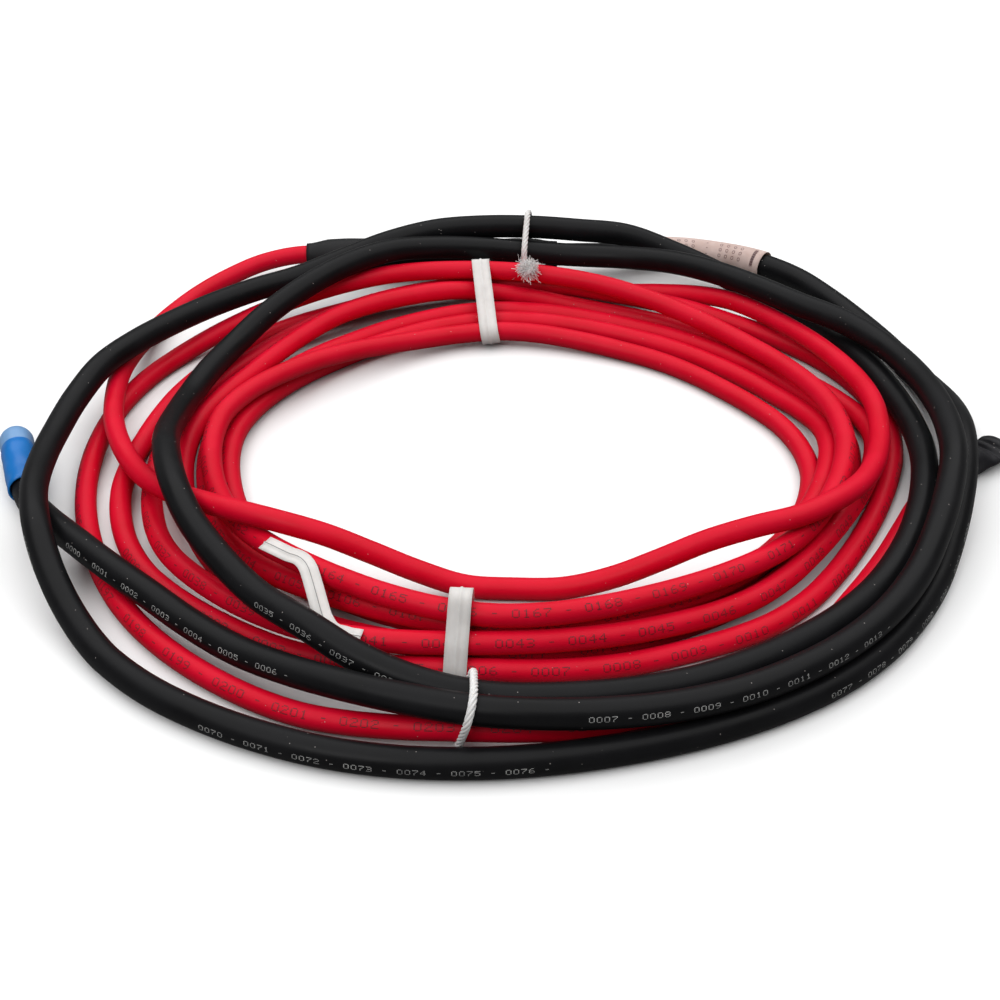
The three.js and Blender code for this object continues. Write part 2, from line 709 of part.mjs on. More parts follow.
const capMesh = named('lead_end_cap', capGeometry(), '#1668c4', 0.35);
layAlong(capMesh, capMouth, capTip, capHeight);
group.add(capMesh);

group.add(named('lead_label', labelGeometry(coldLead), '#dccdc6', 0.85));

const strands = [heatingCable, coldLead, sleeve];
group.add(bindingMesh('tie_back', strands, BACK_TIE, TIE_WIDTH, TIE_THICKNESS, '#ece9e4'));
group.add(bindingMesh('tie_front', strands, FRONT_TIE, TIE_WIDTH, TIE_THICKNESS, '#ece9e4'));
group.add(bindingMesh('string_back', strands, BACK_STRING, STRING_WIDTH, STRING_THICKNESS, '#f1f0ee'));
group.add(bindingMesh('string_front', strands, FRONT_STRING, STRING_WIDTH, STRING_THICKNESS, '#f1f0ee'));

const middle = new THREE.Box3().setFromObject(group).getCenter(new THREE.Vector3());
group.position.set(-middle.x, -middle.y, 0);

export default group;
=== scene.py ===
"""Looks of a loose coil of underfloor heating cable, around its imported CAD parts.

Metres, +Z up, in the frame of the CAD parts, whose floor is z = 0. The two cables follow the
middles of their CAD tubes, and each other piece is placed from the CAD part it stands for.
"""

import logging
import math
import random
from dataclasses import dataclass, field, replace
from enum import Enum
from functools import cache

import bmesh
import bpy
import numpy as np
from mathutils import Matrix, Vector, noise
from mathutils.bvhtree import BVHTree
from mathutils.geometry import convex_hull_2d


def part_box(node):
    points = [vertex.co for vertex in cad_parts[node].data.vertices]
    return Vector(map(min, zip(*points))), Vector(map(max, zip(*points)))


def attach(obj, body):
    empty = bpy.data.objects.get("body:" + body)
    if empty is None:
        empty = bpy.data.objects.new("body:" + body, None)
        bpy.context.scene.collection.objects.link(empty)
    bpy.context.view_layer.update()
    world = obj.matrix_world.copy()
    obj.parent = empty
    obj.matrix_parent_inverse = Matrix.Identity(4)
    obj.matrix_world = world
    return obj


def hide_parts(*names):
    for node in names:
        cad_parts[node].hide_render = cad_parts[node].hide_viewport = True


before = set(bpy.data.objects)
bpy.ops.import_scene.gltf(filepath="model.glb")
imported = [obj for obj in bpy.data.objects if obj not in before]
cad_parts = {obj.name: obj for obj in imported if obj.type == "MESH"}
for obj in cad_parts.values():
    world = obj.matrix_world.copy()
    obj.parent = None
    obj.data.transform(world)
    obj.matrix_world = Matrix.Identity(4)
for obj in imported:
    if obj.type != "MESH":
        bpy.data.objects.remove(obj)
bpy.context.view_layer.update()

log = logging.getLogger("heating_cable_looks")

BODY = "root"
UP = Vector((0.0, 0.0, 1.0))
MERGE_DISTANCE = 1e-5

# Middle of the turns, as the place that the photograph's camera looks at: it lies this far
# from the middle of the splice sleeve
SLEEVE_FROM_MIDDLE = Vector((-0.025, 0.124, 0.0))
PHOTO_SIZE = 1000
PHOTO_FOCUS = 1794.0
PHOTO_AIM = (495.0, 445.0)
CAMERA_DISTANCE = 0.613
CAMERA_ELEVATION = math.radians(33.3)
SENSOR_WIDTH = 36.0

HEATING_DIAMETER = 0.0070
LEAD_DIAMETER = 0.0089
SOCKET_DEPTH = 0.012


def node_middle(node: str) -> Vector:
    """Returns the middle of a CAD node's box."""
    low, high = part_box(node)
    return (low + high) / 2


def coil_middle() -> Vector:
    """Returns the middle of the turns, on the floor."""
    middle = node_middle("splice_sleeve") - SLEEVE_FROM_MIDDLE
    return Vector((middle.x, middle.y, 0.0))


class Slot(Enum):
    """Names of material slots, one kept with each finish."""

    RED_SHEATH = "red_sheath"
    BLACK_SHEATH = "black_sheath"
    SHRINK_SLEEVE = "shrink_sleeve"
    PRESSED_SEAL = "pressed_seal"
    BLUE_CAP = "blue_cap"
    LABEL_PAPER = "label_paper"
    TIE_PAPER = "tie_paper"
    COTTON_STRING = "cotton_string"


# Materials


class ShaderTree:
    """A small hand for building a node tree."""

    def __init__(self, tree: bpy.types.NodeTree) -> None:
        """Clears the tree and keeps it."""
        self.tree = tree
        tree.nodes.clear()

    def node(self, kind: str, values: dict | None = None, **settings: object) -> bpy.types.Node:
        """Adds a node.

        Args:
            kind: Blender's name of the node type.
            values: default values of its input sockets, by name or number.
            **settings: properties of the node.

        Returns:
            The new node.
        """
        made = self.tree.nodes.new(kind)
        for name, value in settings.items():
            setattr(made, name, value)
        for name, value in (values or {}).items():
            made.inputs[name].default_value = value
        return made

    def link(self, source: bpy.types.NodeSocket, target: bpy.types.NodeSocket) -> None:
        """Joins two sockets."""
        self.tree.links.new(source, target)

    def ramp(self, factor: bpy.types.NodeSocket, low: float, high: float) -> bpy.types.NodeSocket:
        """Stretches the values between two limits to the range from 0 to 1."""
        made = self.node("ShaderNodeMapRange", {"From Min": low, "From Max": high})
        self.link(factor, made.inputs["Value"])
        return made.outputs["Result"]

    def product(self, first: bpy.types.NodeSocket,
                second: bpy.types.NodeSocket) -> bpy.types.NodeSocket:
        """Multiplies two values."""
        made = self.node("ShaderNodeMath", operation="MULTIPLY")
        self.link(first, made.inputs[0])
        self.link(second, made.inputs[1])
        return made.outputs["Value"]

    def mix(self, factor: bpy.types.NodeSocket, first: tuple | bpy.types.NodeSocket,
            second: tuple | bpy.types.NodeSocket) -> bpy.types.NodeSocket:
        """Mixes two colours, each given as a value or a socket."""
        made = self.node("ShaderNodeMix", data_type="RGBA")
        self.link(factor, made.inputs["Factor"])
        for name, colour in (("A", first), ("B", second)):
            socket = next(s for s in made.inputs if s.name == name and s.type == "RGBA")
            if isinstance(colour, tuple):
                socket.default_value = (*colour, 1.0)
            else:
                self.link(colour, socket)
        return next(s for s in made.outputs if s.type == "RGBA")

    def placed(self, group: bpy.types.NodeTree, values: dict[str, float]) -> bpy.types.Node:
        """Adds a shared group that follows the object's own coordinates."""
        made = self.node("ShaderNodeGroup", values, node_tree=group)
        self.link(self.node("ShaderNodeTexCoord").outputs["Object"], made.inputs["Vector"])
        return made

    def bump(self, height: bpy.types.NodeSocket, strength: float, distance: float,
             shader: bpy.types.Node) -> None:
        """Lets a height shade a shader's surface."""
        made = self.node("ShaderNodeBump", {"Strength": strength, "Distance": distance})
        self.link(height, made.inputs["Height"])
        self.link(made.outputs["Normal"], shader.inputs["Normal"])


def new_material(name: str, kind: str, values: dict | None = None
                 ) -> tuple[bpy.types.Material, ShaderTree, bpy.types.Node]:
    """Makes a material of one shader, and returns it with its tree and its shader."""
    made = bpy.data.materials.new(name)
    made.use_nodes = True
    tree = ShaderTree(made.node_tree)
    shader = tree.node(kind, values)
    tree.link(shader.outputs["BSDF"], tree.node("ShaderNodeOutputMaterial").inputs["Surface"])
    return made, tree, shader


def new_group(name: str, inputs: dict[str, float], outputs: list[str]) -> bpy.types.NodeTree:
    """Makes an empty shader node group with a Vector input, number inputs and number outputs."""
    group = bpy.data.node_groups.new(name, "ShaderNodeTree")
    group.interface.new_socket("Vector", in_out="INPUT", socket_type="NodeSocketVector")
    for label, value in inputs.items():
        socket = group.interface.new_socket(label, in_out="INPUT", socket_type="NodeSocketFloat")
        socket.default_value = value
    for label in outputs:
        group.interface.new_socket(label, in_out="OUTPUT", socket_type="NodeSocketFloat")
    return group


@cache
def dust_specks() -> bpy.types.NodeTree:
    """Builds scattered specks of dust, once for all finishes: a mask that is 1 on a speck."""
    group = new_group("dust_specks", {"Scale": 1300.0, "Share": 0.05}, ["Mask"])
    tree = ShaderTree(group)
    source = tree.node("NodeGroupInput")
    target = tree.node("NodeGroupOutput")
    cells = tree.node("ShaderNodeTexVoronoi", feature="F1")
    tree.link(source.outputs["Vector"], cells.inputs["Vector"])
    tree.link(source.outputs["Scale"], cells.inputs["Scale"])
    near = tree.ramp(cells.outputs["Distance"], 0.22, 0.12)
    picked = tree.node("ShaderNodeSeparateColor")
    tree.link(cells.outputs["Color"], picked.inputs["Color"])
    chosen = tree.node("ShaderNodeMath", operation="LESS_THAN")
    tree.link(picked.outputs["Red"], chosen.inputs[0])
    tree.link(source.outputs["Share"], chosen.inputs[1])
    tree.link(tree.product(near, chosen.outputs["Value"]), target.inputs["Mask"])
    return group


@cache
def moulded_grain() -> bpy.types.NodeTree:
    """Builds a fine uneven grain, once for all finishes: a height, and a slow patchiness."""
    group = new_group("moulded_grain", {"Scale": 900.0, "Patch Scale": 60.0},
                      ["Height", "Patches"])
    tree = ShaderTree(group)
    source = tree.node("NodeGroupInput")
    target = tree.node("NodeGroupOutput")
    fine = tree.node("ShaderNodeTexNoise", {"Detail": 3.0, "Roughness": 0.6})
    patches = tree.node("ShaderNodeTexNoise", {"Detail": 4.0, "Roughness": 0.55})
    for texture, scale in ((fine, "Scale"), (patches, "Patch Scale")):
        tree.link(source.outputs["Vector"], texture.inputs["Vector"])
        tree.link(source.outputs[scale], texture.inputs["Scale"])
    tree.link(fine.outputs["Fac"], target.inputs["Height"])
    tree.link(tree.ramp(patches.outputs["Fac"], 0.3, 0.7), target.inputs["Patches"])
    return group


@dataclass(frozen=True)
class PlasticFinish:
    """A sheath or shrink tube: smooth plastic with fine grain, dull patches and dust."""

    name: str
    slot: Slot
    light: tuple[float, float, float]
    dark: tuple[float, float, float]
    gloss: tuple[float, float]
    grain_height: float
    grain_scale: float = 900.0
    specular: float = 0.25
    dust_share: float = 0.012
    dust: tuple[float, float, float] = (0.42, 0.38, 0.36)

    def material(self) -> bpy.types.Material:
        """Builds the material: its gloss and colour change slowly from patch to patch."""
        made, tree, shader = new_material(self.name, "ShaderNodeBsdfPrincipled",
                                          {"Specular IOR Level": self.specular})
        grain = tree.placed(moulded_grain(), {"Scale": self.grain_scale})
        specks = tree.placed(dust_specks(), {"Share": self.dust_share})
        patches = grain.outputs["Patches"]
        body = tree.mix(patches, self.dark, self.light)
        tree.link(tree.mix(specks.outputs["Mask"], body, self.dust), shader.inputs["Base Color"])
        gloss = tree.node("ShaderNodeMapRange", {"To Min": self.gloss[0], "To Max": self.gloss[1]})
        tree.link(patches, gloss.inputs["Value"])
        tree.link(gloss.outputs["Result"], shader.inputs["Roughness"])
        tree.bump(grain.outputs["Height"], 0.35, self.grain_height, shader)
        return made


@dataclass(frozen=True)
class FibreFinish:
    """Paper or cotton: matt fibres that let a little light through."""

    name: str
    slot: Slot
    light: tuple[float, float, float]
    dark: tuple[float, float, float]
    fibre_scale: float
    fibre_height: float
    sheen: float = 0.0

    def material(self) -> bpy.types.Material:
        """Builds the material, with fibres in its height and its colour."""
        made, tree, shader = new_material(self.name, "ShaderNodeBsdfPrincipled", {
            "Roughness": 0.85, "Sheen Weight": self.sheen, "Subsurface Weight": 0.25,
            "Subsurface Scale": 0.0006, "Subsurface Radius": (1.0, 0.9, 0.8)})
        grain = tree.placed(moulded_grain(), {"Scale": self.fibre_scale,
                                              "Patch Scale": self.fibre_scale / 5})
        tree.link(tree.mix(grain.outputs["Patches"], self.dark, self.light),
                  shader.inputs["Base Color"])
        tree.bump(grain.outputs["Height"], 0.6, self.fibre_height, shader)
        return made


@dataclass(frozen=True)
class InkFinish:
    """Printing ink in small dots."""

    name: str
    slot: Slot
    light: tuple[float, float, float]
    dark: tuple[float, float, float]

    def material(self) -> bpy.types.Material:
        """Builds the material: ink that is thinner in places."""
        made, tree, shader = new_material(self.name, "ShaderNodeBsdfPrincipled",
                                          {"Roughness": 0.6})
        grain = tree.placed(moulded_grain(), {"Patch Scale": 300.0})
        tree.link(tree.mix(grain.outputs["Patches"], self.dark, self.light),
                  shader.inputs["Base Color"])
        return made


RED_SHEATH = PlasticFinish(
    "red_sheath_plastic", Slot.RED_SHEATH, light=(0.68, 0.003, 0.026), dark=(0.60, 0.001, 0.016),
    gloss=(0.38, 0.48), grain_height=0.00003, specular=0.14)
BLACK_SHEATH = PlasticFinish(
    "black_sheath_plastic", Slot.BLACK_SHEATH, light=(0.0075, 0.0075, 0.0085),
    dark=(0.0045, 0.0045, 0.005), gloss=(0.34, 0.46), grain_height=0.00004, specular=0.13)
SHRINK_SLEEVE = PlasticFinish(
    "shrink_sleeve_plastic", Slot.SHRINK_SLEEVE, light=(0.014, 0.014, 0.015),
    dark=(0.007, 0.007, 0.008), gloss=(0.5, 0.62), grain_height=0.00006, grain_scale=500.0,
    specular=0.2)
PRESSED_SEAL = PlasticFinish(
    "pressed_seal_plastic", Slot.PRESSED_SEAL, light=(0.020, 0.019, 0.022),
    dark=(0.008, 0.008, 0.010), gloss=(0.38, 0.52), grain_height=0.00006, grain_scale=500.0,
    specular=0.2)
BLUE_CAP = PlasticFinish(
    "blue_cap_plastic", Slot.BLUE_CAP, light=(0.003, 0.170, 0.530), dark=(0.001, 0.130, 0.460),
    gloss=(0.28, 0.38), grain_height=0.00004, grain_scale=400.0, specular=0.4)
PALE_CAP_TIP = replace(BLUE_CAP, name="pale_cap_tip_plastic", light=(0.190, 0.350, 0.600),
                       dark=(0.130, 0.290, 0.540))
LABEL_PAPER = FibreFinish(
    "label_paper_matt", Slot.LABEL_PAPER, light=(0.62, 0.47, 0.43), dark=(0.50, 0.36, 0.32),
    fibre_scale=700.0, fibre_height=0.00004)
TIE_PAPER = FibreFinish(
    "tie_paper_matt", Slot.TIE_PAPER, light=(0.70, 0.68, 0.66), dark=(0.62, 0.60, 0.58),
    fibre_scale=900.0, fibre_height=0.00003)
# Grey of the thin tube on the front tie's wire ridge: painted shade of the ridge.
TIE_RIDGE_SHADE = replace(TIE_PAPER, name="tie_ridge_painted_shade", light=(0.30, 0.30, 0.30),
                   dark=(0.22, 0.22, 0.22))
COTTON = FibreFinish(
    "cotton_soft", Slot.COTTON_STRING, light=(0.78, 0.77, 0.76), dark=(0.66, 0.65, 0.64),
    fibre_scale=2500.0, fibre_height=0.00008, sheen=0.4)
DARK_INK = InkFinish("dark_ink", Slot.RED_SHEATH, light=(0.12, 0.003, 0.008),
                     dark=(0.035, 0.002, 0.004))
PALE_INK = InkFinish("pale_ink", Slot.BLACK_SHEATH, light=(0.62, 0.62, 0.60),
                     dark=(0.25, 0.25, 0.25))
LABEL_INK = InkFinish("label_ink", Slot.LABEL_PAPER, light=(0.10, 0.055, 0.060),
                      dark=(0.24, 0.13, 0.12))


# Shapes


def link_piece(name: str, shape: bmesh.types.BMesh | bpy.types.Mesh,
               finishes: list[PlasticFinish | FibreFinish | InkFinish], node: str = "",
               smooth: bool = True) -> bpy.types.Object:
    """Puts a shape into the scene as a piece of the object.

    Args:
        name: the piece's name.
        shape: its shape, in the frame's own place. A bmesh is freed.
        finishes: its finishes, in the order of the shape's material numbers.
        node: the CAD node that it replaces, if it stands for one.
        smooth: whether its faces are shaded smooth.

    Returns:
        The piece's object, riding on the body.
    """
    mesh = mesh_of(shape, name) if isinstance(shape, bmesh.types.BMesh) else shape
    mesh.name = name
    for finish in finishes:
        mesh.materials.append(finish.material())
    mesh.polygons.foreach_set("use_smooth", [smooth] * len(mesh.polygons))
    piece = bpy.data.objects.new(name, mesh)
    bpy.context.scene.collection.objects.link(piece)
    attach(piece, BODY)
    if node:
        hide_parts(node)
    log.info("%s: %d faces", name, len(mesh.polygons))
    return piece


def mesh_of(body: bmesh.types.BMesh, name: str) -> bpy.types.Mesh:
    """Turns a finished bmesh into a mesh and frees it."""
    mesh = bpy.data.meshes.new(name)
    body.to_mesh(mesh)
    body.free()
    return mesh


def swept_round(lines: list[np.ndarray], radii: list[float | np.ndarray],
                rounding: int) -> bpy.types.Mesh:
    """Sweeps a round section along lines, and closes the ends.

    Args:
        lines: the points of each line.
        radii: each line's radius, or its radius at each point.
        rounding: Blender's bevel resolution, which sets the number of sides.

    Returns:
        One mesh of all the tubes.
    """
    curve = bpy.data.curves.new("sweep", "CURVE")
    curve.dimensions = "3D"
    curve.twist_mode = "Z_UP"
    curve.bevel_depth = 1.0
    curve.bevel_resolution = rounding
    curve.use_fill_caps = True
    for line, radius in zip(lines, radii):
        spline = curve.splines.new("POLY")
        spline.points.add(len(line) - 1)
        spline.points.foreach_set("co", np.column_stack([line, np.ones(len(line))]).ravel())
        spline.points.foreach_set("radius", np.broadcast_to(radius, len(line)).astype(float))
    holder = bpy.data.objects.new("sweep", curve)
    bpy.context.scene.collection.objects.link(holder)
    shaped = holder.evaluated_get(bpy.context.evaluated_depsgraph_get())
    mesh = bpy.data.meshes.new_from_object(shaped)
    bpy.data.objects.remove(holder)
    bpy.data.curves.remove(curve)
    return mesh


def turned(profile: list[tuple[float, float]], steps: int) -> bmesh.types.BMesh:
    """Turns a profile round the Z axis.

    Args:
        profile: distance from the axis and height of each corner.
        steps: number of faces round the axis.

    Returns:
        The turned shape, with its faces pointing out.
    """
    body = bmesh.new()
    corners = [body.verts.new((radius, 0.0, height)) for radius, height in profile]
    edges = [body.edges.new(pair) for pair in zip(corners, corners[1:])]
    bmesh.ops.spin(body, geom=corners + edges, axis=UP, cent=(0.0, 0.0, 0.0),
                   angle=2 * math.pi, steps=steps, use_merge=True, use_duplicate=False)
    bmesh.ops.remove_doubles(body, verts=body.verts, dist=MERGE_DISTANCE)
    bmesh.ops.recalc_face_normals(body, faces=body.faces)
    return body


def extruded_along(section: list[tuple[float, float]], frames: list[Matrix],
                   closed: bool) -> bmesh.types.BMesh:
    """Extrudes a section from each frame to the next.

    Args:
        section: the section's corners, across and up in each frame.
        frames: the places that the section passes through.
        closed: whether the section is a closed outline, whose ends are then filled.

    Returns:
        The extruded shape.
    """
    body = bmesh.new()
    corners = [body.verts.new(frames[0] @ Vector((x, y, 0.0))) for x, y in section]
    pairs = list(zip(corners, corners[1:] + corners[:1])) if closed else zip(corners, corners[1:])
    edges = [body.edges.new(pair) for pair in pairs]
    if closed:
        bmesh.ops.edgeloop_fill(body, edges=edges)
    for before, after in zip(frames, frames[1:]):
        made = bmesh.ops.extrude_edge_only(body, edges=edges)["geom"]
        corners = [item for item in made if isinstance(item, bmesh.types.BMVert)]
        edges = [item for item in made if isinstance(item, bmesh.types.BMEdge)]
        bmesh.ops.transform(body, matrix=after @ before.inverted(), verts=corners)
    if closed:
        bmesh.ops.edgeloop_fill(body, edges=edges)
    bmesh.ops.recalc_face_normals(body, faces=body.faces)
    return body


def roughened(body: bmesh.types.BMesh, scale: float, height: float) -> None:
    """Moves each corner in or out a little by a smooth noise.

    Args:
        body: the shape to change.
        scale: how fine the noise is, in waves per metre.
        height: how far it moves a corner at most.
    """
    body.normal_update()
    for corner in body.verts:
        corner.co += corner.normal * height * noise.noise(corner.co * scale)


def eased(share: float) -> float:
    """Eases a share in and out between 0 and 1, and holds it outside them."""
    share = min(1.0, max(0.0, share))
    return share * share * (3 - 2 * share)


def frame_between(origin: Vector, direction: Vector, up: Vector = UP) -> Matrix:
    """Builds a frame whose Z axis runs along a direction and whose Y axis is near to up."""
    ahead = direction.normalized()
    across = up.cross(ahead).normalized()
    above = ahead.cross(across)
    turn = Matrix((across, above, ahead)).transposed()
    return Matrix.Translation(origin) @ turn.to_4x4()


@dataclass(frozen=True)
class Route:
    """A smooth line with the distance along it at each of its points."""

    points: np.ndarray
    along: np.ndarray

    @classmethod
    def through(cls, corners: np.ndarray, steps: int) -> "Route":
        """Draws a Catmull-Rom curve through evenly spaced corners.

        Args:
            corners: the places that the line passes through.
            steps: points made between two corners.

        Returns:
            The smooth line.
        """
        around = np.vstack([2 * corners[0] - corners[1], corners, 2 * corners[-1] - corners[-2]])
        share = np.linspace(0.0, 1.0, steps, endpoint=False)[:, None]
        stretches = [
            b + 0.5 * share * (c - a + share * (2 * a - 5 * b + 4 * c - d
                                                + share * (3 * (b - c) + d - a)))
            for a, b, c, d in zip(around, around[1:], around[2:], around[3:])]
        return cls.of(np.vstack([*stretches, corners[-1:]]))

    @classmethod
    def of(cls, points: np.ndarray) -> "Route":
        """Measures the distance along a line of points."""
        steps = np.linalg.norm(np.diff(points, axis=0), axis=1)
        return cls(points, np.concatenate([[0.0], np.cumsum(steps)]))

    @property
    def length(self) -> float:
        """The whole length of the line."""
        return float(self.along[-1])

    def at(self, along: np.ndarray | float) -> np.ndarray:
        """Returns the places at some distances along the line."""
        return np.stack([np.interp(along, self.along, self.points[:, axis])
                         for axis in range(3)], axis=-1)

    def spaced(self, spacing: float) -> np.ndarray:
        """Returns evenly spaced points of the line, its two ends among them."""
        return self.at(np.linspace(0.0, self.length, round(self.length / spacing) + 1))

    def axes(self, along: np.ndarray, middle: Vector) -> tuple[np.ndarray, np.ndarray, np.ndarray]:
        """Returns the directions ahead, outwards from a middle and upwards, square to the line."""
        reach = 0.002
        ahead = self.at(along + reach) - self.at(along - reach)
        ahead /= np.linalg.norm(ahead, axis=1, keepdims=True)
        outwards = np.cross(ahead, [0.0, 0.0, 1.0])
        outwards /= np.linalg.norm(outwards, axis=1, keepdims=True)
        sides = np.sum(outwards * (self.at(along) - np.array(middle)), axis=1, keepdims=True)
        outwards *= np.where(sides < 0.0, -1.0, 1.0)
        upwards = np.cross(outwards, ahead)
        upwards *= np.where(upwards[:, 2:] < 0.0, -1.0, 1.0)
        return ahead, outwards, upwards


def by_edges(first: bmesh.types.BMVert) -> list[bmesh.types.BMVert]:
    """Returns the corners that edges lead to from a first one, the nearest first."""
    order, met = [first], {first}
    for corner in order:
        for edge in corner.link_edges:
            other = edge.other_vert(corner)
            if other not in met:
                met.add(other)
                order.append(other)
    return order


def tube_middles(node: str, diameter: float) -> np.ndarray:
    """Finds the middle line of a CAD tube, which is made of rings of corners.

    Args:
        node: the CAD node.
        diameter: the tube's diameter, which is less than the space between two rings.

    Returns:
        The middle of each ring, from one end of the tube to the other.
    """
    body = bmesh.new()
    body.from_mesh(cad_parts[node].data)
    bmesh.ops.remove_doubles(body, verts=body.verts, dist=MERGE_DISTANCE)
    body.verts.ensure_lookup_table()
    tip = by_edges(body.verts[0])[-1]
    ring = [corner for corner in by_edges(tip)[:60] if (corner.co - tip.co).length < 1.1 * diameter]
    met = set(ring)
    middles = []
    while ring:
        middles.append(np.mean([corner.co for corner in ring], axis=0))
        beside = {edge.other_vert(corner) for corner in ring for edge in corner.link_edges}
        ring = sorted(beside - met, key=lambda corner: corner.index)
        met.update(ring)
    body.free()
    return np.array(middles)


# Cables


@dataclass
class Cable:
    """A cable that lies in its turns, from the splice sleeve to its far end."""

    node: str
    diameter: float
    finish: PlasticFinish
    spacing: float
    rounding: int = 7
    unevenness: float = 0.006
    waves: float = 35.0

    def __post_init__(self) -> None:
        """Finds the cable's middle line, starting at the splice sleeve."""
        middles = tube_middles(self.node, self.diameter)
        splice = np.array(node_middle("splice_sleeve"))
        if np.linalg.norm(middles[0] - splice) > np.linalg.norm(middles[-1] - splice):
            middles = middles[::-1]
        middles[:, 2] = np.maximum(middles[:, 2], self.diameter / 2)
        route = Route.through(middles, 12)
        route.points[:, 2] = np.maximum(route.points[:, 2], self.diameter / 2)
        self.route = route

    def build(self) -> None:
        """Builds the cable's sheath as one smooth tube."""
        line = self.route.spaced(self.spacing)
        waves = [noise.noise(Vector(point) * self.waves) for point in line]
        radii = self.diameter / 2 * (1 + self.unevenness * np.array(waves))
        self.piece = link_piece(self.node + "_sheath", swept_round([line], [radii], self.rounding),
                                [self.finish], self.node)
        self.surface = BVHTree.FromObject(self.piece, bpy.context.evaluated_depsgraph_get())

    def far_end(self) -> tuple[Vector, Vector]:
        """Returns the place of the cable's far end and the direction in which it ends."""
        end, before = (Vector(self.route.at(self.route.length - back)) for back in (0.0, 0.004))
        return end, (end - before).normalized()

    def declare(self) -> None:
        exit_place = self.route.at(SOCKET_DEPTH)
        [tuple(float(x) for x in point) for point in self.route.spaced(0.004)]


# Dots of the printed figures, seven rows of five
FIGURES = {
    "0": ["01110", "10001", "10001", "10001", "10001", "10001", "01110"],
    "1": ["00100", "01100", "00100", "00100", "00100", "00100", "01110"],
    "2": ["01110", "10001", "00001", "00110", "01000", "10000", "11111"],
    "3": ["11110", "00001", "00001", "01110", "00001", "00001", "11110"],
    "4": ["00010", "00110", "01010", "10010", "11111", "00010", "00010"],
    "5": ["11111", "10000", "11110", "00001", "00001", "10001", "01110"],
    "6": ["00110", "01000", "10000", "11110", "10001", "10001", "01110"],
    "7": ["11111", "00001", "00010", "00100", "01000", "01000", "01000"],
    "8": ["01110", "10001", "10001", "01110", "10001", "10001", "01110"],
    "9": ["01110", "10001", "10001", "01111", "00001", "00010", "01100"],
    "-": ["00000", "00000", "00000", "01110", "00000", "00000", "00000"],
    " ": ["00000"] * 7,
    "|": ["11111"] * 7,
}


@dataclass
class PrintedLine:
    """Plain running numbers and dashes, printed in dots along a cable or on its label."""

    name: str
    route: Route
    radius: float
    finish: InkFinish
    start: float
    end: float
    advance: float
    dot_width: float
    dot_height: float
    roll: float
    roll_sway: float = 8.0
    roll_waves: float = 9.0
    dot_fill: float = 0.55
    numbers: int = 6
    blank: int = 0
    mark: str = ""
    surface: BVHTree | None = None
    lift: float = 0.00004

    def text(self) -> str:
        """Writes running numbers in rows, with a blank stretch after each row."""
        room = int((self.end - self.start) / self.advance)
        text = self.mark
        count = 0
        while not self.mark and len(text) < room:
            text += "".join(f"{count + step:04d} - " for step in range(self.numbers))
            text += " " * self.blank
            count += self.numbers
        return text[:room]

    def travel(self) -> float:
        """Returns 1 where the cable runs anticlockwise round the coil, and -1 if clockwise."""
        outer = self.route.points[:, :2] - np.array(coil_middle())[:2]
        step = np.diff(outer, axis=0)
        turn = np.sum(outer[:-1, 0] * step[:, 1] - outer[:-1, 1] * step[:, 0])
        return 1.0 if turn > 0 else -1.0

    def build(self) -> bpy.types.Object:
        """Builds every dot as a small diamond that lies on the surface.

        Returns:
            The print's object.
        """
        spots = [(place * self.advance + column * self.dot_width, row)
                 for place, figure in enumerate(self.text())
                 for row, line in enumerate(FIGURES[figure])
                 for column, dot in enumerate(line) if dot == "1"]
        across, down = np.array(spots, dtype=float).T
        travel = self.travel()
        along = self.start + across if travel > 0 else self.end - across
        roll = self.roll + self.roll_sway * np.sin(along * self.roll_waves)
        turn = np.radians(roll) + (3.0 - down) * self.dot_height / self.radius
        ahead, outwards, upwards = self.route.axes(along, coil_middle())
        cosine, sine = np.cos(turn)[:, None], np.sin(turn)[:, None]
        face = outwards * cosine + upwards * sine
        side = upwards * cosine - outwards * sine
        centre = self.route.at(along) + face * (self.radius + self.lift)
        if self.surface:
            for row, (place, way) in enumerate(zip(centre, face)):
                found = self.surface.ray_cast(Vector(place), -Vector(way), 2 * self.radius)[0]
                if found:
                    centre[row] = np.array(found) + way * self.lift
        wide = ahead * travel * self.dot_fill * self.dot_width
        tall = side * self.dot_fill * self.dot_height
        corners = np.stack([centre + wide, centre + tall, centre - wide, centre - tall], axis=1)
        mesh = bpy.data.meshes.new(self.name)
        mesh.from_pydata(corners.reshape(-1, 3).tolist(), [],
                         np.arange(4 * len(centre)).reshape(-1, 4).tolist())
        mesh.update()
        return link_piece(self.name, mesh, [self.finish], smooth=False)


# Fittings on the cables


